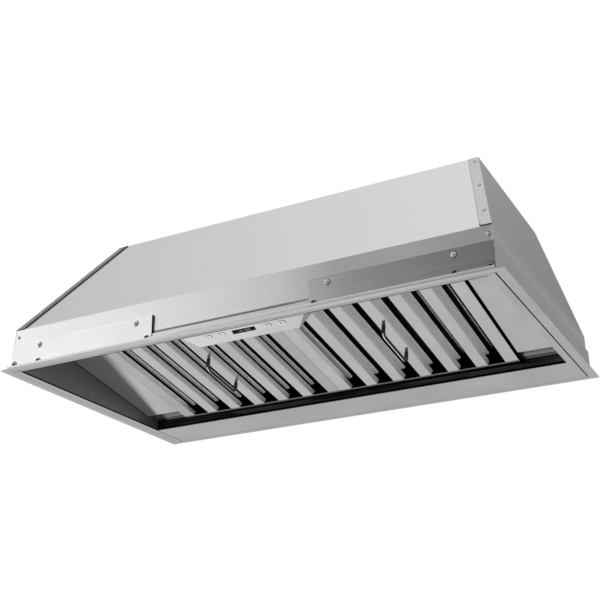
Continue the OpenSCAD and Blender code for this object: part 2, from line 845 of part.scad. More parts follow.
// Half-round flap with two knuckles round the rod; the knuckles start at these shares of its width
module damper_flap(knuckle_shares) {
    t = 0.8;
    rim_gap = 1.5;
    r = collar_bore_r - rim_gap;
    knuckle = 30;
    difference() {
        union() {
            difference() {
                translate([0, 0, -knuckle_r]) cylinder(h = t, r = r);
                translate([-r, -2 * r, -collar_h]) cube([2 * r, 2 * r + knuckle_r + gap, 2 * collar_h]);
            }
            for (share = knuckle_shares) {
                x = share * r;
                rod_x(x, x + knuckle, knuckle_r);
                block([x, 0, -knuckle_r], [x + knuckle, knuckle_r + gap + t, t - knuckle_r]);
            }
        }
        rod_x(-collar_d, collar_d, rod_d / 2 + run);
    }
}

module rear_damper_flap() color("lightgray") at_collar() translate([0, 0, rod_h])
    damper_flap([-0.8, 0.1]);

module front_damper_flap() color("lightgray") at_collar() translate([0, 0, rod_h])
    rotate([0, 0, 180]) damper_flap([-0.8, 0.1]);

// Electrical parts

module at_junction() translate([conduit_x, inner_rear - box_depth / 2, casing_h - casing_sheet]) children();

module junction_box() color("lightgray") difference() {
    at_junction() translate([-box_w / 2, -box_depth / 2, -box_h]) cube([box_w, box_depth, box_h]);
    at_junction() translate([-box_w / 2 + box_t, -box_depth / 2 + box_t, -box_h - over])
        cube([box_w - 2 * box_t, box_depth - 2 * box_t, box_h + over - box_t]);
    translate([conduit_x, conduit_y, 0]) cylinder(h = casing_h, r = conduit_r);
}

module junction_cover() color("silver") at_junction() {
    lip = 8;
    translate([-box_w / 2, -box_depth / 2, -box_h - box_t]) cube([box_w, box_depth, box_t]);
    translate([-box_w / 2 - box_t, -box_depth / 2 - box_t, -box_h - box_t])
        cube([box_w + 2 * box_t, box_t, box_t + lip]);
}

module conduit_bushing() color("dimgray") translate([conduit_x, conduit_y, casing_h - casing_sheet - box_t])
    difference() {
        wall = 2;
        union() {
            cylinder(h = box_t + casing_sheet + 2 * wall, r = conduit_r);
            translate([0, 0, box_t + casing_sheet]) cylinder(h = wall, r = conduit_r + 2 * wall);
        }
        translate([0, 0, -over]) cylinder(h = casing_h, r = conduit_r - wall);
    }

module motor_capacitor() color("lightgray") {
    r = capacitor_d / 2;
    half = capacitor_l / 2;
    translate([-collar_d - half, collar_y, casing_h - casing_sheet - r]) {
        rod_x(-half, half, r);
        block([-half / 2, -r, 0], [half / 2, r, r]);
    }
}

// Filters, drawn with the hinge bead along X through the origin and the filter towards -Y

module at_filter() translate([seam_gap / 2, hinge_y, hinge_z]) rotate([-filter_tilt, 0, 0]) children();

function trough_x(i) = filter_w / 2 + (i - (trough_count - 1) / 2) * baffle_pitch;
function slot_x(i) = filter_w / 2 + (i - trough_count / 2) * baffle_pitch;
edge_flat = trough_x(0) - baffle_pitch + trough_flat / 2;
handle_x = trough_x(floor(trough_count / 2));

// Right-hand flank that rises from a flat ending at x
function flank(x) = let(t = filter_sheet, thick = t / cos(atan2(flank_splay, flank_h)))
    [[x, 0], [x + flank_splay, flank_h], [x + flank_splay - thick, flank_h],
     [x + flank_splay * t / flank_h - thick, t]];

// The same points on the other side, in reverse order
function opposite(points) = [for (i = [len(points) - 1:-1:0]) [-points[i][0], points[i][1]]];

module filter_frame() color("silver") {
    t = filter_sheet;
    lip = 10;
    for (side = [0, 1]) translate([side * filter_w, 0, 0]) mirror([side, 0, 0]) {
        translate([0, 0, filter_base]) run_y(wall_front, wall_rear)
            polygon(concat([[0, filter_h], [0, 0]], flank(edge_flat),
                [[t, t], [t, filter_h - t], [lip, filter_h - t], [lip, filter_h]]));
    }
    block([0, -filter_l, filter_base], [filter_w, wall_front, filter_top]);
    block([0, wall_rear, filter_base], [filter_w, -web_d, filter_top]);
    block([lip, wall_front, filter_top - t], [filter_w - lip, wall_front + lip, filter_top]);
    block([lip, wall_rear - lip, filter_top - t], [filter_w - lip, wall_rear, filter_top]);
    block([0, -web_d, -t / 2], [filter_w, 0, t / 2]);
    rod_x(0, filter_w, bead_r);
}

module lower_baffles() color("lightgray") difference() {
    half = trough_flat / 2;
    for (i = [0:trough_count - 1]) translate([trough_x(i), 0, filter_base]) run_y(wall_front, wall_rear)
        polygon(concat(flank(half), opposite(flank(half))));
    at_handle_legs() cylinder(h = filter_h, r = wire_d / 2, center = true);
}

module upper_baffles() color("gray") {
    t = filter_sheet;
    o = hat_open / 2;
    h = o - hat_lean;
    w = o + lip_w;
    top = filter_h - 2 * t;
    end = wall_rear - hat_end_gap;
    for (i = [0:trough_count]) translate([slot_x(i), 0, filter_base]) run_y(wall_front, end) polygon([
        [-w, lip_h], [-o, lip_h], [-h, top], [h, top], [o, lip_h], [w, lip_h], [w, lip_h + t],
        [o + t, lip_h + t], [h + t, top + t], [-h - t, top + t], [-o - t, lip_h + t], [-w, lip_h + t]
    ]);
}

module at_handle_legs() for (y = [-handle_from_hinge, -handle_from_hinge - handle_l + wire_d])
    translate([handle_x, y, filter_base]) children();

// Wire handle with two bends, its legs through the middle trough and a nut on each
module filter_handle() color("gray") {
    r = wire_d / 2;
    bend = 2.2 * wire_d;
    low = filter_base - handle_drop + r;
    nut_h = wire_d * 0.6;
    rear = -handle_from_hinge;
    front = rear - handle_l + wire_d;
    at_handle_legs() translate([0, 0, bend - handle_drop + r])
        cylinder(h = handle_drop - r - bend + filter_sheet + nut_h, r = r);
    at_handle_legs() translate([0, 0, filter_sheet]) difference() {
        cylinder(h = nut_h, r = wire_d, $fn = 6);
        translate([0, 0, -over]) cylinder(h = nut_h + 2 * over, r = r);
    }
    translate([handle_x, rear - bend, low]) rotate([90, 0, 0]) cylinder(h = rear - front - 2 * bend, r = r);
    translate([handle_x, rear - bend, low + bend]) rotate([0, 90, 0]) wire_bend(bend, r);
    translate([handle_x, front + bend, low + bend]) mirror([0, 1, 0]) rotate([0, 90, 0]) wire_bend(bend, r);
}

// Quarter ring about Z, in the quadrant of +X and +Y
module wire_bend(bend, r) intersection() {
    rotate_extrude() translate([bend, 0]) circle(r = r);
    translate([0, 0, -2 * r]) cube([2 * bend, 2 * bend, 4 * r]);
}

module right_filter_frame() at_filter() filter_frame();
module right_lower_baffles() at_filter() lower_baffles();
module right_upper_baffles() at_filter() upper_baffles();
module right_filter_handle() at_filter() filter_handle();
module left_filter_frame() mirror([1, 0, 0]) at_filter() filter_frame();
module left_lower_baffles() mirror([1, 0, 0]) at_filter() lower_baffles();
module left_upper_baffles() mirror([1, 0, 0]) at_filter() upper_baffles();
module left_filter_handle() mirror([1, 0, 0]) at_filter() filter_handle();

trim_flange();
left_channel();
right_channel();
front_channel();
rear_shelf();
left_bracket_plate();
right_bracket_plate();
bracket_screws();
mounting_inserts();
front_panel();
front_skirt();
left_side_panel();
right_side_panel();
rear_panel();
top_panel();
seam_screws();
filter_rail();
left_filler_panel();
right_filler_panel();
light_panel();
lamp_bezels();
lamp_lenses();
lamp_bodies();
control_box();
control_board();
display_window();
light_button();
speed_down_button();
speed_up_button();
power_button();
blower_wrap();
left_blower_cheek();
right_blower_cheek();
blower_hangers();
motor();
motor_bracket();
blower_wheel();
duct_collar();
damper_rod();
front_damper_flap();
rear_damper_flap();
junction_box();
junction_cover();
conduit_bushing();
motor_capacitor();
left_filter_frame();
left_lower_baffles();
left_upper_baffles();
left_filter_handle();
right_filter_frame();
right_lower_baffles();
right_upper_baffles();
right_filter_handle();
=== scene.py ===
"""Looks of the range hood insert: materials, small fittings, floor, light and camera."""

import json
import math

import bmesh
import bpy
from mathutils import Matrix, Vector


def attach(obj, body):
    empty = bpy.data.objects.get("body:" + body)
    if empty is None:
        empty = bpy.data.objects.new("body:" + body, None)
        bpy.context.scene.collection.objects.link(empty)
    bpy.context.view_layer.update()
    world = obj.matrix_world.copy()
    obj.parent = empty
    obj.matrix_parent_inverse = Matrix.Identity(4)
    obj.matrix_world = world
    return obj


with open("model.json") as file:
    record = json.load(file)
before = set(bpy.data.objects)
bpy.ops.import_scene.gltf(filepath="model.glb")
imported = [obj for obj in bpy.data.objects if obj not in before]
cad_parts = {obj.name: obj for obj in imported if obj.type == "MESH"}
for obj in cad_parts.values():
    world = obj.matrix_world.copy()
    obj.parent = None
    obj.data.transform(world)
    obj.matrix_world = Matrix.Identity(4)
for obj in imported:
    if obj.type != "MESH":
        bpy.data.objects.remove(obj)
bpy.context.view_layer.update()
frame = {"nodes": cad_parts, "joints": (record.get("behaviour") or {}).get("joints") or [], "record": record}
nodes = frame["nodes"]
scene = bpy.context.scene
MM = 0.001

# Camera: below the front right corner and looking up, as the photograph was taken

CAMERA_AT = Vector((0.960, -1.854, -0.7225))
CAMERA_RIGHT = Vector((0.88501, 0.46551, -0.00747))
CAMERA_UP = Vector((0.18746, -0.34161, 0.92096))
SENSOR = 36.0
LENS = 66.51
FARTHEST = 50.0


def add_camera():
    """The photograph's camera, with its frame taken as square."""
    back = CAMERA_RIGHT.cross(CAMERA_UP).normalized()
    right = CAMERA_RIGHT.normalized()
    up = back.cross(right)
    data = bpy.data.cameras.new("camera")
    data.sensor_width = SENSOR
    data.sensor_fit = "HORIZONTAL"
    data.lens = LENS
    data.clip_end = FARTHEST
    camera = bpy.data.objects.new("camera", data)
    turn = Matrix((right, up, back)).transposed()
    camera.matrix_world = Matrix.Translation(CAMERA_AT) @ turn.to_4x4()
    scene.collection.objects.link(camera)
    scene.camera = camera


add_camera()

# Sizes of the part in mm: read from its nodes, or repeated from its source where no node shows them

X, Y, Z = range(3)
ACROSS = Vector((1, 0, 0))
DEEP = Vector((0, 1, 0))
UPRIGHT = Vector((0, 0, 1))
SIDES = (-1, 1)


def reach(node, axis, end):
    """Where a node's mesh ends along an axis, in mm; end is min or max."""
    return end(vertex.co[axis] for vertex in nodes[node].data.vertices) / MM


def middle(node, axis):
    """Middle of a node's mesh along an axis, in mm."""
    return (reach(node, axis, min) + reach(node, axis, max)) / 2


def edge(place, start, full):
    """The stretch beside a place, in mm, over which a tone turns into the next."""
    return (place + start, place + full)


def joint_place(name):
    """A point on a joint's axis, in mm."""
    joint = next(joint for joint in frame["joints"] if joint["name"] == name)
    return Vector(joint["pos_m"]) / MM


class Face:
    """A face of the object in mm: its origin, u across it, v up it and n out of it."""

    def __init__(self, origin, u, v):
        self.origin = Vector(origin)
        self.u = Vector(u).normalized()
        self.v = Vector(v).normalized()
        self.n = self.u.cross(self.v)

    def point(self, u, v, height):
        """A place on the face, at a height above it."""
        return self.origin + self.u * u + self.v * v + self.n * height


# Casing: the sloped front starts at the fold, leans in at its sides and ends at the top panel
CASING_X = reach("right_side_panel", X, max)
CASING_Y = reach("front_skirt", Y, min)
TOP_Z = reach("top_panel", Z, max)
FOLD_Z = 85.5
LEAN = 79.5
SETBACK = 215.5
SIDE_SHEET = 1.2
STRIP_W = 19.0
SLOPE_L = math.hypot(SETBACK, TOP_Z - FOLD_Z)
SLOPE = Face((0, CASING_Y, FOLD_Z), ACROSS, (0, SETBACK, TOP_Z - FOLD_Z))
SLOPE_STRIP = Face(SLOPE.point(0, 0, SIDE_SHEET), SLOPE.u, SLOPE.v)
SKIRT = Face((0, CASING_Y, 0), ACROSS, UPRIGHT)
PLATES = Face((0, reach("right_bracket_plate", Y, min), 0), ACROSS, UPRIGHT)


def strip_edge(v):
    """Outer edge of the sloped front at a place up the slope."""
    return CASING_X - LEAN * v / SLOPE_L


# Filters: their tilt, their hinge, and their underside, which lies a little below the hinge
FILTER_TILT = math.radians(9.9)
FILTER_UP = Vector((0, math.sin(FILTER_TILT), math.cos(FILTER_TILT)))
FILTER_LONG = Vector((0, math.cos(FILTER_TILT), -math.sin(FILTER_TILT)))
HINGE_DROP = 2.5
HINGE = joint_place("left_filter_hinge")
FILTER_BASE_H = FILTER_UP.dot(HINGE) - HINGE_DROP
HINGE_RUN = FILTER_LONG.dot(HINGE)
UNDERSIDE = Face(HINGE - FILTER_UP * HINGE_DROP, -ACROSS, FILTER_LONG)

# Middle of the slot next to the seam of the filters, and the distance between slots
FIRST_SLOT = 45.2
SLOT_PITCH = 60.0

# The handles' legs: distance from the middle of the object and runs from the hinge line
LEG_X = middle("right_filter_handle", X)
LEG_RUNS = (-120.0, -231.0)

# Slanted face of the control box, with the middle line of its buttons
PANEL_DROP = 31.3
PANEL_D = reach("control_box", Y, max) - reach("control_box", Y, min)
PANEL_FOOT = (0, reach("control_box", Y, max), reach("control_box", Z, min))
PANEL = Face(PANEL_FOOT, ACROSS, (0, -PANEL_D, PANEL_DROP))
BUTTON_V = 19.5

# Shader nodes

# The stretch of a noise's values that a blend spans, and the whole stretch of a mask
NOISE_SPAN = (0.3, 0.7)
NOISE_ROUGHNESS = 0.6
WHOLE = (0, 1)
WHITE = (1, 1, 1, 1)
BLACK_TONE = 0.002


def grey(tone):
    """A grey colour."""
    return (tone, tone, tone)


def even(scale):
    """One scale in all directions."""
    return (scale, scale, scale)


class Nodes:
    """Adds and links shader nodes in one material or world."""

    def __init__(self, owner):
        self.tree = owner.node_tree
        self.shader = self.tree.nodes.get("Principled BSDF")

    def add(self, kind, **values):
        """A new node with some of its settings."""
        node = self.tree.nodes.new("ShaderNode" + kind)
        for key, value in values.items():
            setattr(node, key, value)
        return node

    def link(self, source, target):
        """Joins an output to an input."""
        self.tree.links.new(source, target)

    def feed(self, key, value):
        """Joins an output to an input of the surface's shader."""
        self.link(value, self.shader.inputs[key])

    def place(self, scale):
        """Object coordinates times scale, as a vector output."""
        mapping = self.add("Mapping")
        mapping.inputs["Scale"].default_value = scale
        self.link(self.add("TexCoord").outputs["Object"], mapping.inputs["Vector"])
        return mapping.outputs["Vector"]

    def noise(self, scale, detail):
        """Noise over stretched object coordinates."""
        noise = self.add("TexNoise")
        noise.inputs["Scale"].default_value = 1.0
        noise.inputs["Detail"].default_value = detail
        noise.inputs["Roughness"].default_value = NOISE_ROUGHNESS
        self.link(self.place(scale), noise.inputs["Vector"])
        return noise.outputs["Fac"]

    def spread(self, value, low, high, span=NOISE_SPAN, kind="LINEAR"):
        """The stretch span of value mapped onto low to high."""
        node = self.add("MapRange", interpolation_type=kind)
        for key, number in zip(("From Min", "From Max", "To Min", "To Max"), (*span, low, high)):
            node.inputs[key].default_value = number
        self.link(value, node.inputs["Value"])
        return node.outputs["Result"]

    def over(self, value, edge):
        """A mask that is 0 below the edge and 1 above it."""
        return self.spread(value, 0, 1, edge)

    def under(self, value, edge):
        """A mask that is 1 below the edge and 0 above it."""
        return self.spread(value, 1, 0, edge)

    def sum(self, operation, first, second=None):
        """One sum on values and numbers."""
        node = self.add("Math", operation=operation)
        for socket, part in zip(node.inputs, (first, second)):
            if isinstance(part, (int, float)):
                socket.default_value = part
            elif part is not None:
                self.link(part, socket)
        return node.outputs["Value"]

    def minus(self, first, second):
        """The first less the second."""
        return self.sum("SUBTRACT", first, second)

    def both(self, first, second):
        """Where both masks hold."""
        return self.sum("MULTIPLY", first, second)

    def along(self, vector, direction):
        """How far a vector output reaches along a direction."""
        node = self.add("VectorMath", operation="DOT_PRODUCT")
        node.inputs[1].default_value = direction
        self.link(vector, node.inputs[0])
        return node.outputs["Value"]

    def mm(self, direction):
        """Place along a direction of the part, in mm."""
        return self.along(self.add("TexCoord").outputs["Object"], direction / MM)

    def aside(self, centre=0.0):
        """Distance in X from a centre, in mm."""
        across = self.mm(ACROSS)
        return self.sum("ABSOLUTE", self.minus(across, centre) if centre else across)

    def facing(self, direction):
        """Cosine between the surface's normal and a direction."""
        return self.along(self.add("TexCoord").outputs["Normal"], direction)

    def tint(self, value, dark, light):
        """A colour between dark and light by value."""
        mix = self.add("Mix", data_type="RGBA")
        self.link(value, mix.inputs["Factor"])
        mix.inputs[6].default_value = (*dark, 1)
        mix.inputs[7].default_value = (*light, 1)
        return mix.outputs[2]

    def paint(self, mask, tone):
        """A grey tone where mask is 1, over the colour so far."""
        mix = self.add("Mix", data_type="RGBA")
        self.link(mask, mix.inputs["Factor"])
        self.link(self.shader.inputs["Base Color"].links[0].from_socket, mix.inputs[6])
        mix.inputs[7].default_value = (*grey(tone), 1)
        self.feed("Base Color", mix.outputs[2])

    def darken(self, mask):
        """Black without any shine where mask is 1."""
        self.paint(mask, BLACK_TONE)
        metal = self.shader.inputs["Metallic"]
        if metal.is_linked:
            self.feed("Metallic", self.sum("MAXIMUM", metal.links[0].from_socket, mask))
        else:
            self.feed("Metallic", self.spread(mask, metal.default_value, 1, WHOLE))

    def vary_roughness(self, value, mean, shares, span=NOISE_SPAN):
        """Roughness between two shares of its mean, by value."""
        self.feed("Roughness", self.spread(value, mean * shares[0], mean * shares[1], span))

    def bump(self, value, strength, distance):
        """Fine relief of the surface."""
        node = self.add("Bump")
        node.inputs["Strength"].default_value = strength
        node.inputs["Distance"].default_value = distance
        self.link(value, node.inputs["Height"])
        self.feed("Normal", node.outputs["Normal"])

    def show(self, unseen, seen, output):
        """Ends the tree with one shader for the camera's own rays and another for all other rays."""
        mix = self.add("MixShader")
        self.link(self.add("LightPath").outputs["Is Camera Ray"], mix.inputs["Fac"])
        self.link(unseen.outputs[0], mix.inputs[1])
        self.link(seen.outputs[0], mix.inputs[2])
        self.link(mix.outputs["Shader"], self.tree.nodes[output].inputs["Surface"])


# Kinds of material


def plain(name, colour, metallic=0.0, roughness=0.5):
    """A material of one colour, with nothing but its shader's sockets set."""
    material = bpy.data.materials.new(name)
    material.use_nodes = True
    shader = material.node_tree.nodes["Principled BSDF"]
    shader.inputs["Base Color"].default_value = (*colour, 1)
    shader.inputs["Metallic"].default_value = metallic
    shader.inputs["Roughness"].default_value = roughness
    return material


# Scales of the grain, coarse along the brushed direction, and of the clouds and the paint's skin
ALONG_X = (6, 900, 900)
ALONG_Y = (900, 6, 900)
CLOUDS = even(7)
SKIN = even(300)

# How far each surface's tone falls, the shares of its mean roughness that it varies between, and its relief
STEEL_CONTRAST = 0.12
STEEL_SHARES = (0.8, 1.25)
STEEL_RELIEF = (0.05, 0.0002)
ZINC_CONTRAST = 0.1
ZINC_BLUE = 1.01
ZINC_SHARES = (0.75, 1.3)
ZINC_DEPTH = 0.00005
PAINT_SHARES = (0.85, 1.2)
PAINT_RELIEF = (0.06, 0.0001)


def brushed(name, tone, grain, roughness=0.35, metallic=0.5):
    """Brushed steel whose grain runs along the axis of the smallest number in grain."""
    material = plain(name, grey(tone), metallic, roughness)
    n = Nodes(material)
    fine = n.noise(grain, detail=6.0)
    broad = n.noise(CLOUDS, detail=2.0)
    n.feed("Base Color", n.tint(n.spread(broad, 0, 1), grey(tone * (1 - STEEL_CONTRAST)), grey(tone)))
    n.vary_roughness(fine, roughness, STEEL_SHARES)
    n.bump(fine, *STEEL_RELIEF)
    return material


def spangled(name, tone, roughness=0.42, size=520.0, metallic=0.8, relief=0.08):
    """Galvanised sheet: faint crystals of slightly different brightness."""
    material = plain(name, grey(tone), metallic, roughness)
    n = Nodes(material)
    cells = n.add("TexVoronoi")
    cells.inputs["Scale"].default_value = size
    n.link(n.place(even(1)), cells.inputs["Vector"])
    split = n.add("SeparateColor")
    n.link(cells.outputs["Color"], split.inputs["Color"])
    flakes = split.outputs[0]
    n.feed("Base Color", n.tint(flakes, grey(tone * (1 - ZINC_CONTRAST)), (tone, tone, tone * ZINC_BLUE)))
    if relief:
        n.vary_roughness(flakes, roughness, ZINC_SHARES, WHOLE)
        n.bump(flakes, relief, ZINC_DEPTH)
    return material


def painted(name, colour, roughness=0.4, speck=0.3):
    """Paint or plastic with a fine orange-peel surface."""
    material = plain(name, colour, 0.0, roughness)
    n = Nodes(material)
    peel = n.noise(SKIN, detail=3.0)
    n.feed("Base Color", n.tint(n.spread(peel, 0, 1), tuple(c * (1 - speck) for c in colour), colour))
    n.vary_roughness(peel, roughness, PAINT_SHARES)
    n.bump(peel, *PAINT_RELIEF)
    return material


# Filters. An edge is a pair of places, in mm or as cosines, between which one tone turns into the next.
# Heights are taken from the filters' underside and runs from their hinge line.

FLATS_END = (1.5, 3)
FLANKS_END = (14, 16)
HATS_BACK = (21.5, 22.8)
WEB_FRONT = (-17.2, -16.8)
BEAD_FRONT = (-9, -7.5)
NOT_UP = (0.2, 0.4)
FRONT_WALL = (-0.9, -0.7)
FILTER_ROUGHNESS = 0.36
FLAT_METAL = 0.5
FLANK_SHADE_TONE = 0.56
PAINTED_LIGHT_TONE = 1.0
WEB_SHADE_TONE = 0.2

# Painted reflection of a handle's leg in the flat that it stands on: its length, and its edges as shares of
# it and in mm
LEG_REFLECTION_LENGTH = 35.2
REFLECTION_START = (-0.08, 0.0)
REFLECTION_END = (0.4, 0.6)
REFLECTION_SIDE = (2.6, 4.2)
REFLECTION_TONE = 0.06

# Upper baffles: half width of a lip's lit part, beyond which painted shade blackens it, and a painted
# highlight line in all but the inner slots of the right filter
LIP_SIDE = (18.2, 19.2)
INNER_SLOTS = 4
SHEEN_ASIDE = 2.3
SHEEN_SIDE = (1.0, 1.7)
SHEEN_SLOTS = edge(FIRST_SLOT + (INNER_SLOTS - 0.5) * SLOT_PITCH, 0, 2)
SHEEN_END = (-34, -31)

# Filter frame, where painted shade falls: its rear part, the top of the web there, and the cosine of its long
# walls
REAR_PART = (-60, -50)
WEB_TOP = (6, 8)
LONG_WALL = (0.99, 0.995)

# Handle: where its legs reach the rod, below the underside, and the leg's side in painted shade
ROD_TOP = (-18.5, -17)
LEG_SIDE = (-0.15, 0.25)


def filter_axes(n):
    """Height above the underside of the filters and run from their hinge, in mm."""
    return n.minus(n.mm(FILTER_UP), FILTER_BASE_H), n.minus(n.mm(FILTER_LONG), HINGE_RUN)


def from_slot(n, across, first):
    """Distance in X from the middle of the nearest slot."""
    return n.sum("PINGPONG", n.minus(across, first), SLOT_PITCH / 2)


def add_painted_leg_reflections(n, run, leg_x, drift):
    """Painted reflection: a dark image of the handle's two legs in the flat they stand on, drifting aside as
    it goes forward.
    """
    across = n.mm(ACROSS)
    for leg_run in LEG_RUNS:
        share = n.sum("DIVIDE", n.minus(leg_run, run), LEG_REFLECTION_LENGTH)
        aside = n.minus(n.minus(across, leg_x), n.sum("MULTIPLY", share, drift))
        near = n.under(n.sum("ABSOLUTE", aside), REFLECTION_SIDE)
        within = n.both(n.over(share, REFLECTION_START), n.under(share, REFLECTION_END))
        n.paint(n.both(near, within), REFLECTION_TONE)


def filter_steel(name, low_tone, shaded_lips=False, leg_x=None, drift=0.0):
    """Filter steel, bright below, with painted light: darker flanks and brighter lips, painted shade on the
    web, and painted shade black deep inside, at the ends and by the rail.
    """
    material = brushed(name, low_tone, ALONG_Y, FILTER_ROUGHNESS)
    n = Nodes(material)
    height, run = filter_axes(n)
    above_flat = n.over(height, FLATS_END)
    above_flank = n.over(height, FLANKS_END)
    end_wall = n.under(n.facing(FILTER_LONG), FRONT_WALL)
    n.feed("Metallic", n.spread(above_flat, FLAT_METAL, 0.0, WHOLE))
    # Painted light: the flanks take a darker tone and the lips a brighter one, for how light reaches them in
    # the slots.
    n.paint(above_flat, FLANK_SHADE_TONE)
    n.paint(above_flank, PAINTED_LIGHT_TONE)
    # Painted shade: the outer part of each lip, beyond its lit half width, is made black.
    if shaded_lips:
        n.darken(n.both(n.over(from_slot(n, n.aside(), FIRST_SLOT), LIP_SIDE), above_flank))
    if leg_x is not None:
        add_painted_leg_reflections(n, run, leg_x, drift)
    # Painted shade: the rear web is darkened, and the deep insides of the hats, the end walls and the strip
    # by the rail are made black.
    n.paint(n.over(run, WEB_FRONT), WEB_SHADE_TONE)
    not_up = n.under(n.facing(FILTER_UP), NOT_UP)
    n.darken(n.both(n.over(height, HATS_BACK), not_up))
    n.darken(n.both(end_wall, above_flat))
    n.darken(n.both(n.over(run, BEAD_FRONT), not_up))
    return material


def sheen_line_baffles(name, low_tone):
    """Upper baffles of the right filter, with a painted highlight line in each outer slot."""
    material = filter_steel(name, low_tone)
    n = Nodes(material)
    _, run = filter_axes(n)
    across = n.mm(ACROSS)
    sheen_line = n.under(from_slot(n, across, FIRST_SLOT - SHEEN_ASIDE), SHEEN_SIDE)
    n.paint(n.both(sheen_line, n.both(n.over(across, SHEEN_SLOTS), n.under(run, SHEEN_END))), PAINTED_LIGHT_TONE)
    return material


def frame_steel(name, tone):
    """Filter frame with painted shade: its rear web darkened, its deep rear faces made black, and its long
    walls black for the shadow of the narrow gap they line.
    """
    material = brushed(name, tone, ALONG_Y, FILTER_ROUGHNESS)
    n = Nodes(material)
    height, run = filter_axes(n)
    not_up = n.under(n.facing(FILTER_UP), NOT_UP)
    at_rear = n.over(run, REAR_PART)
    n.paint(n.both(n.over(run, WEB_FRONT), not_up), WEB_SHADE_TONE)
    n.darken(n.both(n.under(n.facing(FILTER_LONG), FRONT_WALL), at_rear))
    n.darken(n.both(n.both(not_up, at_rear), n.over(height, WEB_TOP)))
    n.darken(n.both(n.over(run, BEAD_FRONT), not_up))
    n.darken(n.over(n.sum("ABSOLUTE", n.facing(ACROSS)), LONG_WALL))
    return material


def handle_steel(name, rod_tone, leg_shade_tone):
    """Wire that is bright along the rod, with painted shade on the legs and on the sides facing away from the
    lamp.
    """
    material = brushed(name, rod_tone, even(120), roughness=0.55, metallic=0.0)
    n = Nodes(material)
    height, _ = filter_axes(n)
    n.paint(n.over(height, ROD_TOP), leg_shade_tone)
    n.paint(n.over(n.facing(ACROSS), LEG_SIDE), leg_shade_tone)
    return material


# Panels round the filters. The filler's rear end is a step in painted shade: a darker tone, two painted dark
# lines, a darker back, and a black tail behind it.

FILLER_STEP = (7, 8.5)
STEP_SHADE_TONE = 0.28
FILLER_SHADE_LINES = (-21.5, -6.0)
SHADE_LINE_SIDE = (0.8, 1.2)
FILLER_BACK = (-7, -5)
BACK_SHADE_TONE = 0.13
FILLER_TAIL = (8, 10)
FILLER_EDGE = edge(reach("right_filler_panel", X, max), -2.5, -1.9)
BOX_END = (0.3, 0.5)
# The rail's near-black tone, its streaks and its black foot and top are painted shade and painted reflection.
RAIL_SHADE_TONE = 0.07
RAIL_STREAKS = (9, 9, 60)
STREAK_SPAN = (0.45, 0.6)
STREAK_DEPTH = 0.7
RAIL_FOOT = (4, 6)
RAIL_TOP = (17, 20)


def filler_steel(name, tone):
    """Filler panel: its rear end is stepped up and darkened with painted shade, with painted shade black at
    its tail and along its outer edge.
    """
    material = brushed(name, tone, ALONG_Y)
    n = Nodes(material)
    height, run = filter_axes(n)
    step = n.over(height, FILLER_STEP)
    n.paint(step, STEP_SHADE_TONE)
    n.paint(n.both(step, n.over(run, FILLER_BACK)), BACK_SHADE_TONE)
    for seam in FILLER_SHADE_LINES:
        n.darken(n.both(step, n.under(n.sum("ABSOLUTE", n.minus(run, seam)), SHADE_LINE_SIDE)))
    n.darken(n.over(run, FILLER_TAIL))
    n.darken(n.over(n.aside(), FILLER_EDGE))
    return material


def control_steel(name, tone, end_light_tone):
    """Satin control box with a painted highlight on its right end."""
    material = brushed(name, tone, ALONG_X, roughness=0.45, metallic=0.3)
    n = Nodes(material)
    n.paint(n.over(n.facing(ACROSS), BOX_END), end_light_tone)
    return material


def rail_shade(name):
    """Rail in painted shade, near black, with faint streaks of painted reflection along the middle of its
    wall and painted shade black at its foot and top.
    """
    material = painted(name, grey(RAIL_SHADE_TONE))
    n = Nodes(material)
    height = n.mm(UPRIGHT)
    n.darken(n.both(n.over(n.noise(RAIL_STREAKS, detail=1.0), STREAK_SPAN), STREAK_DEPTH))
    n.darken(n.under(height, RAIL_FOOT))
    n.darken(n.over(height, RAIL_TOP))
    return material


# Channels round the opening: their upright walls, their foot, and the dark lines along one edge, all in
# painted shade

SIDE_WALL = (0.5, 0.7)
CHANNEL_FOOT = (2, 3)
INNER_LINE = edge(reach("right_channel", X, min), 1.6, 2.2)
OUTER_LINE = edge(reach("right_channel", X, max), -1.5, -1.1)
FRONT_LINE = edge(reach("front_channel", Y, max), -2.6, -2.2)

# Flange: its front lip with a painted lit middle, which fades to both ends
FRONT_LIP = edge(CASING_Y, -3.3, -2.7)
LIP_MIDDLE = 60
LIP_FADE = (250, 500)

# The lip's upper part between the bracket plates, painted as a highlight, and the stretch over which its
# shine ends
UPPER_LIP = (0.3, 1.0)
BETWEEN_PLATES = edge(reach("right_bracket_plate", X, min), -0.8, 0.2)
UPPER_HIGHLIGHT_TONE = 1.0
UPPER_METAL = 0.95
LEFT_SHINE = (-120, 90)

# Outer sides of the flange, by the cosine to the left: painted shade on the left side and painted light on
# the right
FLANGE_LEFT = (0.6, 0.8)
LEFT_SHADE_TONE = 0.36
FLANGE_RIGHT = (-0.8, -0.6)
RIGHT_LIGHT_TONE = 0.86


def channel_steel(name, tone, wall_shade_tone, inner_line):
    """Trim steel whose upright walls beside the opening are darkened with painted shade, with a painted shade
    line in black along one edge.
    """
    material = brushed(name, tone, ALONG_Y)
    n = Nodes(material)
    n.paint(n.over(n.sum("ABSOLUTE", n.facing(ACROSS)), SIDE_WALL), wall_shade_tone)
    line = n.under(n.aside(), INNER_LINE) if inner_line else n.over(n.aside(), OUTER_LINE)
    n.darken(n.both(n.under(n.mm(UPRIGHT), CHANNEL_FOOT), line))
    return material


def front_channel_steel(name, tone):
    """The front channel, with a painted shade line in black along its edge beside the opening."""
    material = brushed(name, tone, ALONG_X)
    n = Nodes(material)
    n.darken(n.over(n.mm(DEEP), FRONT_LINE))
    return material


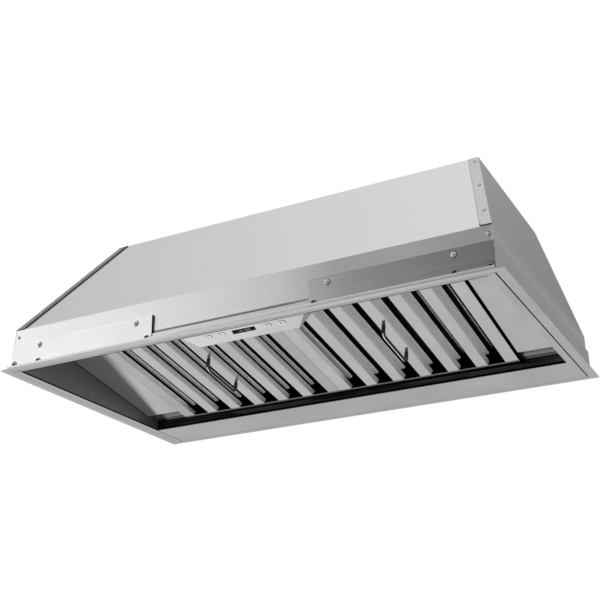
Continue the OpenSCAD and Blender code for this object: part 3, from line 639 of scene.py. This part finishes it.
def flange_steel(name, tone, front_light_tone):
    """The trim flange with painted light: brighter along its front lip, a painted highlight on the lip's
    upper part, painted shade on its left side and painted light on its right.
    """
    material = brushed(name, tone, ALONG_X)
    n = Nodes(material)
    lip = n.under(n.mm(DEEP), FRONT_LIP)
    n.paint(n.both(lip, n.under(n.aside(LIP_MIDDLE), LIP_FADE)), front_light_tone)
    upper = n.both(n.both(lip, n.over(n.mm(UPRIGHT), UPPER_LIP)), n.under(n.aside(), BETWEEN_PLATES))
    n.paint(upper, UPPER_HIGHLIGHT_TONE)
    shine = n.both(upper, n.under(n.mm(ACROSS), LEFT_SHINE))
    n.feed("Metallic", n.spread(shine, n.shader.inputs["Metallic"].default_value, UPPER_METAL, WHOLE))
    leftwards = n.facing(-ACROSS)
    n.paint(n.over(leftwards, FLANGE_LEFT), LEFT_SHADE_TONE)
    n.paint(n.under(leftwards, FLANGE_RIGHT), RIGHT_LIGHT_TONE)
    return material


# Casing: painted shade of the hem on the skirt and over a stretch above the right plate, and the sides' fold,
# below which they take a painted tone

HEM_SHADE = (22.5, 24.5)
HEM_SHADE_TONE = 0.2
RIGHT_SHADE_START = (110, 205)
RIGHT_SHADE_END = (230, 350)
RIGHT_SHADE_SHARE = 0.8
RIGHT_SHADE_TONE = 0.62
PLATE_END = (0.6, 0.8)
SIDE_FOLD = edge(FOLD_Z, -9.5, 10.5)
ON_SLOPE = (0.9, 0.96)


def skirt_zinc(name, tone):
    """Galvanised skirt with painted shade: along its foot under the hem, and over a stretch above the right
    plate.
    """
    material = spangled(name, tone, roughness=0.34, size=480.0, metallic=0.9, relief=0.0)
    n = Nodes(material)
    n.paint(n.under(n.mm(UPRIGHT), HEM_SHADE), HEM_SHADE_TONE)
    across = n.mm(ACROSS)
    n.paint(n.both(n.over(across, RIGHT_SHADE_START), n.spread(across, RIGHT_SHADE_SHARE, 0, RIGHT_SHADE_END)), RIGHT_SHADE_TONE)
    return material


def end_shaded(name):
    """Bracket plate whose end faces are painted black, as the shade they stand in."""
    material = SLOT_MATERIALS["plate_steel"](name)
    n = Nodes(material)
    n.darken(n.over(n.sum("ABSOLUTE", n.facing(ACROSS)), PLATE_END))
    return material


def side_zinc(name, tone, low_tone, strip_tone):
    """Galvanised side panel with painted light: other tones below its fold and on its strip over the sloped
    front, set by how light falls there.
    """
    material = spangled(name, tone)
    n = Nodes(material)
    n.paint(n.under(n.mm(UPRIGHT), SIDE_FOLD), low_tone)
    n.paint(n.over(n.facing(SLOPE.n), ON_SLOPE), strip_tone)
    return material


# Materials of the record's slots, by slot, and of the nodes that differ from the rest of their slot, by node.
# A tone is a share of white.

SLOT_MATERIALS = {
    "stainless": lambda name: brushed(name, 0.66, ALONG_X),
    "plate_steel": lambda name: brushed(name, 0.78, ALONG_X, roughness=0.22, metallic=0.95),
    "galvanised": lambda name: spangled(name, 0.74),
    "skirt_zinc": lambda name: skirt_zinc(name, 0.88),
    "zinc_screws": lambda name: brushed(name, 0.95, even(200), roughness=0.4, metallic=0.3),
    "insert_steel": lambda name: brushed(name, 0.5, even(200), roughness=0.4),
    "rail_black": rail_shade,
    "bezel_chrome": lambda name: brushed(name, 0.75, even(200), roughness=0.15),
    "lamp_glass": lambda name: painted(name, grey(0.8), roughness=0.3, speck=0.05),
    "lamp_aluminium": lambda name: brushed(name, 0.6, even(60)),
    "control_steel": lambda name: control_steel(name, 0.50, 0.95),
    "board_green": lambda name: painted(name, (0.02, 0.16, 0.06)),
    "display_black": lambda name: painted(name, (0.004, 0.004, 0.005), roughness=0.12),
    "button_steel": lambda name: brushed(name, 0.60, even(300), roughness=0.4, metallic=0.3),
    "motor_paint": lambda name: painted(name, (0.02, 0.02, 0.022), roughness=0.45),
    "wheel_steel": lambda name: spangled(name, 0.5, size=120.0),
    "bushing_plastic": lambda name: painted(name, grey(0.012), roughness=0.5),
    "filter_steel": lambda name: filter_steel(name, 0.70),
    "handle_steel": lambda name: handle_steel(name, 0.45, 0.02),
}

# Painted light and shade: where a node's tone differs from its slot's or from its twin on the other side, it
# is set by how light falls on that node.
NODE_MATERIALS = {
    "left_channel": lambda: channel_steel("left_channel_steel", 0.66, 0.2, inner_line=True),
    "right_channel": lambda: channel_steel("right_channel_steel", 0.66, 0.2, inner_line=False),
    "front_channel": lambda: front_channel_steel("front_channel_steel", 0.72),
    "trim_flange": lambda: flange_steel("flange_steel", 0.66, 0.76),
    "right_filler_panel": lambda: filler_steel("filler_steel", 0.66),
    "left_filler_panel": lambda: filler_steel("left_filler_steel", 0.70),
    "left_bracket_plate": lambda: end_shaded("left_plate_steel"),
    # Painted light: the right side panel is a lit copy and the left one a shaded copy of the same zinc.
    "right_side_panel": lambda: side_zinc("side_zinc", 0.72, 1.0, 0.54),
    "left_side_panel": lambda: side_zinc("left_side_zinc", 0.42, 0.42, 0.30),
    "left_upper_baffles": lambda: filter_steel("left_baffle_steel", 0.72, shaded_lips=True),
    "right_upper_baffles": lambda: sheen_line_baffles("right_baffle_steel", 0.72),
    "right_filter_frame": lambda: frame_steel("frame_steel", 0.70),
    "left_filter_frame": lambda: frame_steel("left_frame_steel", 0.60),
    "left_lower_baffles": lambda: filter_steel("left_flat_steel", 0.70, leg_x=-LEG_X, drift=23.1),
    "right_lower_baffles": lambda: filter_steel("right_flat_steel", 0.70, leg_x=LEG_X, drift=15.3),
}


def dress_nodes():
    """Every CAD node takes the material of its slot in the record, and some then one of their own."""
    made = {}
    for entry in frame["record"]["subparts"]:
        slot = entry["material_slot"]
        if slot not in made:
            made[slot] = SLOT_MATERIALS[slot](slot)
        mesh = nodes[entry["node"]].data
        mesh.materials.clear()
        mesh.materials.append(made[slot])
    for node, make in NODE_MATERIALS.items():
        nodes[node].data.materials[0] = make()
    for node in ("left_filter_handle", "right_filter_handle"):
        nodes[node].visible_shadow = False


# Small pieces, each made of flat shapes raised on faces


def raised(name, shapes, material, body):
    """One piece made of prisms; each shape is a face, the outline on it, its low and its high side."""
    mesh = bpy.data.meshes.new(name)
    build = bmesh.new()
    for face, outline, low, high in shapes:
        foot = [build.verts.new(face.point(u, v, low) * MM) for u, v in outline]
        top = [build.verts.new(face.point(u, v, high) * MM) for u, v in outline]
        build.faces.new(top)
        build.faces.new(foot[::-1])
        for i, corner in enumerate(foot):
            after = (i + 1) % len(foot)
            build.faces.new((corner, foot[after], top[after], top[i]))
    bmesh.ops.recalc_face_normals(build, faces=build.faces)
    build.to_mesh(mesh)
    build.free()
    piece = bpy.data.objects.new(name, mesh)
    scene.collection.objects.link(piece)
    mesh.materials.append(material)
    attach(piece, body)
    return piece


def bar(u, v, half_u, half_v):
    """A rectangle round a middle."""
    left, right, low, high = u - half_u, u + half_u, v - half_v, v + half_v
    return [(left, low), (right, low), (right, high), (left, high)]


def arc(u, v, r, start=0.0, turn=2 * math.pi, parts=20):
    """Points of an arc."""
    angles = [start + turn * i / parts for i in range(parts + 1)]
    return [(u + r * math.cos(a), v + r * math.sin(a)) for a in angles]


def disc(u, v, r):
    """A round outline."""
    return arc(u, v, r)[:-1]


def stroke(points, width):
    """Outlines of a line of one width through the points, one for each stretch."""
    left, right = [], []
    for i, point in enumerate(points):
        before, after = points[max(i - 1, 0)], points[min(i + 1, len(points) - 1)]
        run = Vector((after[0] - before[0], after[1] - before[1])).normalized() * width / 2
        left.append((point[0] - run.y, point[1] + run.x))
        right.append((point[0] + run.y, point[1] - run.x))
    return [[left[i], left[i + 1], right[i + 1], right[i]] for i in range(len(points) - 1)]


# How far a shadow gap's prism starts above the face that it lies on
LIFT = 0.02

# Screws: distance from the casing's side and height, or share of the slope's length
HIGH_SCREWS = ((67, 44), (296, 44))
LOW_SCREWS = ((67, 10.5), (322, 10.5))
CORNER_SCREW = (8, 70)
STRIP_SCREW_SHARES = (0.19, 0.55, 0.93)
SIDE_SCREW = (241, 67)

# Radius and rise of each kind of head, and the painted shade disc that blackens the low heads: its radius,
# low and high side
PAN_HEAD = (5.0, 2.6)
SMALL_HEAD = (3.4, 1.8)
LOW_SHADOW = (4.2, 2.3, 2.65)

# Cross recess: reach of its arms and their half width as shares, its depth, and how far it stands proud
CROSS_SHARE = 0.3
ARM_SHARE = 0.26
CROSS_DEPTH = 0.3
CROSS_PROUD = 0.15

# Painted shadow below a head: its radius and width as shares of the head's, its arc and its top
SHADOW_SHARE = 1.1
SHADOW_W_SHARE = 0.24
SHADOW_ARC = (-1.9, 3.2)
SHADOW_TOP = 0.3


def cross(u, v, r):
    """Recess of a cross-headed screw."""
    arm = ARM_SHARE * r
    return [bar(u, v, r, arm), bar(u, v, arm, r)]


def add_screw_recess_shade():
    """Cross recesses of the screws that show and the shadow gaps round their heads, all as pieces in painted
    shade black.
    """
    heads = []
    for side in SIDES:
        for from_end, z in HIGH_SCREWS + LOW_SCREWS:
            heads.append((PLATES, side * (CASING_X - from_end), z, *PAN_HEAD))
        heads.append((SKIRT, side * (CASING_X - CORNER_SCREW[0]), CORNER_SCREW[1], *SMALL_HEAD))
        for v in (share * SLOPE_L for share in STRIP_SCREW_SHARES):
            heads.append((SLOPE_STRIP, side * (strip_edge(v) - STRIP_W / 2), v, *SMALL_HEAD))
        flank = Face((side * CASING_X, *SIDE_SCREW), side * DEEP, UPRIGHT)
        heads.append((flank, 0, 0, *SMALL_HEAD))
    shapes = []
    for face, u, v, r, rise in heads:
        recess = cross(u, v, CROSS_SHARE * r)
        shapes += [(face, part, rise - CROSS_DEPTH, rise + CROSS_PROUD) for part in recess]
        shadow = stroke(arc(u, v, SHADOW_SHARE * r, *SHADOW_ARC), SHADOW_W_SHARE * r)
        shapes += [(face, part, LIFT, SHADOW_TOP) for part in shadow]
    r, low, high = LOW_SHADOW
    for side in SIDES:
        for from_end, z in LOW_SCREWS:
            shapes.append((PLATES, disc(side * (CASING_X - from_end), z, r), low, high))
    raised("screw_recess_shade", shapes, dark, "casing")


# Pieces in painted shade beside the sloped front's strips, for the shadow along them: side, width and rise of
# each, and how far it stays from the top
SEAM_SHADOWS = ((-1, 7.0, 1.35), (1, 1.8, 0.5))
SEAM_END = 1

# The strip's rounded foot: where it starts, its radii across and down, its angles, and the line round it
FOOT_V = 8.0
FOOT_R = (6, 6.6)
FOOT_ANGLES = (0.3, 0.6, 0.9, 1.2, math.pi / 2)
FOOT_INSET = 0.5
FOOT_W = 2.0
FOOT_RISE = 1.6


def add_seam_shadows():
    """The shadow gaps round the side panels' strips on the sloped front, as pieces in painted shade black."""
    shapes = []
    for side, width, rise in SEAM_SHADOWS:
        aside = STRIP_W + (width / 2 if side > 0 else 0)
        seam = [(side * (strip_edge(v) - aside), v) for v in (SLOPE_L - SEAM_END, FOOT_V)]
        corner_u = seam[-1][0]
        foot = [(corner_u + side * FOOT_R[0] * (1 - math.cos(a)), FOOT_V - FOOT_R[1] * math.sin(a))
                for a in FOOT_ANGLES]
        low_v = FOOT_V - FOOT_R[1]
        outer = (side * (strip_edge(low_v) - FOOT_INSET), low_v)
        shapes += [(SLOPE, part, LIFT, rise) for part in stroke(seam, width)]
        shapes += [(SLOPE, part, LIFT, FOOT_RISE) for part in stroke([seam[-1], *foot, outer], FOOT_W)]
    raised("seam_shadow_lines", shapes, dark, "casing")


# The hem's outline, as distances behind the flange's front edge and heights, and how far it passes the casing
HEM_OUTLINE = (
    (1.3, 1.5), (0.3, 1.7), (0.05, 2.4), (0.0, 5.8),
    (0.3, 6.5), (0.9, 6.6), (1.2, 6.2), (1.3, 5.6),
)
HEM_PAST = 2.2


def add_hem():
    """The turned-up edge of the flange along the front, rounded at its foot and top, in a brighter copy of
    the steel as a painted highlight.
    """
    hem = Face((0, reach("trim_flange", Y, min), 0), DEEP, UPRIGHT)
    half = CASING_X + HEM_PAST
    raised("front_hem", [(hem, HEM_OUTLINE, -half, half)], hem_highlight_steel, "casing")


# Threaded inserts: their place, the painted shadow round their rim, and the painted shade disc down in their
# bore
INSERT_FROM_END = 7
INSERT_Z = middle("mounting_inserts", Z)
RIM_R = 6.3
RIM_W = 1.3
RIM_TOP = 0.25
BORE_R = 3.05
BORE_SPAN = (-6, -1)


def add_insert_rings():
    """Painted shade: the shadow gaps round the threaded inserts and the depth of their bores, as pieces in
    black.
    """
    shapes = []
    for u in (side * (CASING_X - INSERT_FROM_END) for side in SIDES):
        rim = stroke(arc(u, INSERT_Z, RIM_R, parts=24), RIM_W)
        shapes += [(PLATES, part, LIFT, RIM_TOP) for part in rim]
        shapes.append((PLATES, disc(u, INSERT_Z, BORE_R), *BORE_SPAN))
    raised("insert_shadows", shapes, dark, "casing")


# Sleeves: radius, and how far they reach down from the underside
SLEEVE_R = 4.0
SLEEVE_L = 17.5


def add_leg_sleeves():
    """Thicker ends on the handles' legs, in painted shade black like the legs."""
    for side, body in zip(SIDES, ("left_filter", "right_filter")):
        shapes = [(UNDERSIDE, disc(-side * LEG_X, run, SLEEVE_R), 0.0, SLEEVE_L) for run in LEG_RUNS]
        sleeves = raised(body + "_leg_sleeves", shapes, dark, body)
        sleeves.visible_shadow = False


# Segments of a digit, as shares of its width and height; then each digit's place and the segments it lights
SEGMENTS = {
    "a": (0, 1, 1, 1), "b": (1, 0.5, 1, 1), "c": (1, 0, 1, 0.5), "d": (0, 0, 1, 0),
    "e": (0, 0, 0, 0.5), "f": (0, 0.5, 0, 1), "g": (0, 0.5, 1, 0.5),
}
DIGITS = ((-13, "bc"), (-7, "abged"), (3, "abgcd"), (9, "abcdef"))
DIGIT_W = 3.2
DIGIT_H = 4.4
DIGIT_DROP = 2.6
SEGMENT_HALF = 0.3
COLON_HALF = 0.4
COLON_RISES = (-1.4, 1.4)
DIGIT_SPAN = (0.01, 0.12)


def add_display_marks():
    """Plain segment digits on the display: the hour 12 and the minutes 30."""
    outlines = []
    for place, lit in DIGITS:
        for u0, v0, u1, v1 in (SEGMENTS[key] for key in lit):
            u = place + DIGIT_W * (u0 + u1) / 2
            v = BUTTON_V - DIGIT_DROP + DIGIT_H * (v0 + v1) / 2
            half_u = DIGIT_W * (u1 - u0) / 2 + SEGMENT_HALF
            half_v = DIGIT_H * (v1 - v0) / 2 + SEGMENT_HALF
            outlines.append(bar(u, v, half_u, half_v))
    outlines += [bar(0, BUTTON_V + rise, COLON_HALF, COLON_HALF) for rise in COLON_RISES]
    shapes = [(PANEL, outline, *DIGIT_SPAN) for outline in outlines]
    raised("display_digits", shapes, pale, "casing")


# Signs: half length and half width of less and more; for the rings, their radii, line, gap and bars,
# which are a middle's place and half sizes
BAR_HALF = 2.2
BAR_THIN = 0.4
LINE_W = 0.7
LAMP_R = 1.9
LAMP_FOOT = (0, -2.7, 0.7, 0.3)
POWER_R = 2.0
POWER_ARC = (0.65 * math.pi, 1.7 * math.pi)
POWER_BAR = (0, 1.6, 0.35, 1.2)
SIGN_SPAN = (0.75, 0.92)


def add_button_marks():
    """A plain sign on each button: a lamp, less, more, and on and off."""
    less = bar(0, 0, BAR_HALF, BAR_THIN)
    signs = {
        "light_button": stroke(arc(0, 0, LAMP_R, parts=16), LINE_W) + [bar(*LAMP_FOOT)],
        "speed_down_button": [less],
        "speed_up_button": [less, bar(0, 0, BAR_THIN, BAR_HALF)],
        "power_button": stroke(arc(0, 0, POWER_R, *POWER_ARC, parts=14), LINE_W) + [bar(*POWER_BAR)],
    }
    for body, outlines in signs.items():
        u = middle(body, X)
        shapes = [(PANEL, [(u + a, BUTTON_V + b) for a, b in outline], *SIGN_SPAN) for outline in outlines]
        raised(body + "_sign", shapes, sign_ink, body)


# Floor and light

FLOOR_Z = -3.0
FLOOR_SIZE = 60.0
FLOOR_TONE = 0.85
FLOOR_GLOW = 0.25


def add_floor():
    """A plain pale floor, far below every view, that only the camera's own rays meet."""
    bpy.ops.mesh.primitive_plane_add(size=FLOOR_SIZE, location=(0, 0, FLOOR_Z))
    floor = bpy.context.object
    floor.name = "floor"
    material = plain("floor", grey(FLOOR_TONE), roughness=0.9)
    n = Nodes(material)
    n.shader.inputs["Emission Color"].default_value = WHITE
    n.shader.inputs["Emission Strength"].default_value = FLOOR_GLOW
    n.show(n.add("BsdfTransparent"), n.shader, "Material Output")
    floor.data.materials.append(material)


# The studio: a dim room with bright and dull stretches, each a direction, the cosines at which it
# starts and is full, and the brightness that it adds
ROOM_GREY = 0.15
STRETCHES = (
    ((0.0, 0.0, 1.0), -0.20, 0.35, 0.08),
    ((0.0, 0.05, 1.0), 0.50, 0.92, 1.17),
    ((-0.75, 0.40, 0.50), 0.75, 0.97, -0.35),
    ((-0.90, -0.35, 0.25), 0.735, 0.86, 1.44),
    ((1.0, 0.10, -0.40), 0.30, 0.95, 0.40),
    ((0.10, -0.95, 0.35), 0.88, 0.98, -0.12),
)

# A distant soft lamp: the way its light goes, its width in degrees and its power
SUN_TRAVEL = Vector((1.24, 0.0, 1.0))
SUN_WIDTH = 12
SUN_POWER = 4.8


def add_room():
    """A studio that is white behind the object and lights it in broad soft stretches."""
    world = bpy.data.worlds.new("world")
    world.use_nodes = True
    n = Nodes(world)
    backdrop = n.tree.nodes["Background"]
    backdrop.inputs["Color"].default_value = WHITE
    towards = n.add("TexCoord").outputs["Generated"]
    total = ROOM_GREY
    for direction, start, full, amount in STRETCHES:
        cosine = n.along(towards, Vector(direction).normalized())
        total = n.sum("ADD", n.spread(cosine, 0, amount, (start, full), "SMOOTHSTEP"), total)
    room = n.add("Background")
    n.link(total, room.inputs["Strength"])
    n.show(room, backdrop, "World Output")
    scene.world = world
    scene.view_settings.view_transform = "Standard"


def add_sun():
    """The lamp that lights what faces down and left."""
    data = bpy.data.lights.new("low_sun", "SUN")
    data.angle = math.radians(SUN_WIDTH)
    data.energy = SUN_POWER
    lamp = bpy.data.objects.new("low_sun", data)
    lamp.rotation_euler = SUN_TRAVEL.to_track_quat("-Z", "Y").to_euler()
    scene.collection.objects.link(lamp)


add_floor()
add_room()
add_sun()
dress_nodes()
# Painted shade: a near-black for the pieces that stand for shadows, shade in recesses and bores, and the
# shaded legs.
dark = painted("painted_shade_black", grey(0.004), roughness=0.6)
pale = painted("digit_pale", (0.30, 0.32, 0.33), speck=0.1)
sign_ink = painted("sign_ink", grey(0.10), roughness=0.5, speck=0.2)
# Painted highlight: the hem takes a brighter copy of the trim steel.
hem_highlight_steel = brushed("hem_highlight_steel", 0.95, ALONG_X)
add_screw_recess_shade()
add_seam_shadows()
add_hem()
add_insert_rings()
add_leg_sleeves()
add_display_marks()
add_button_marks()
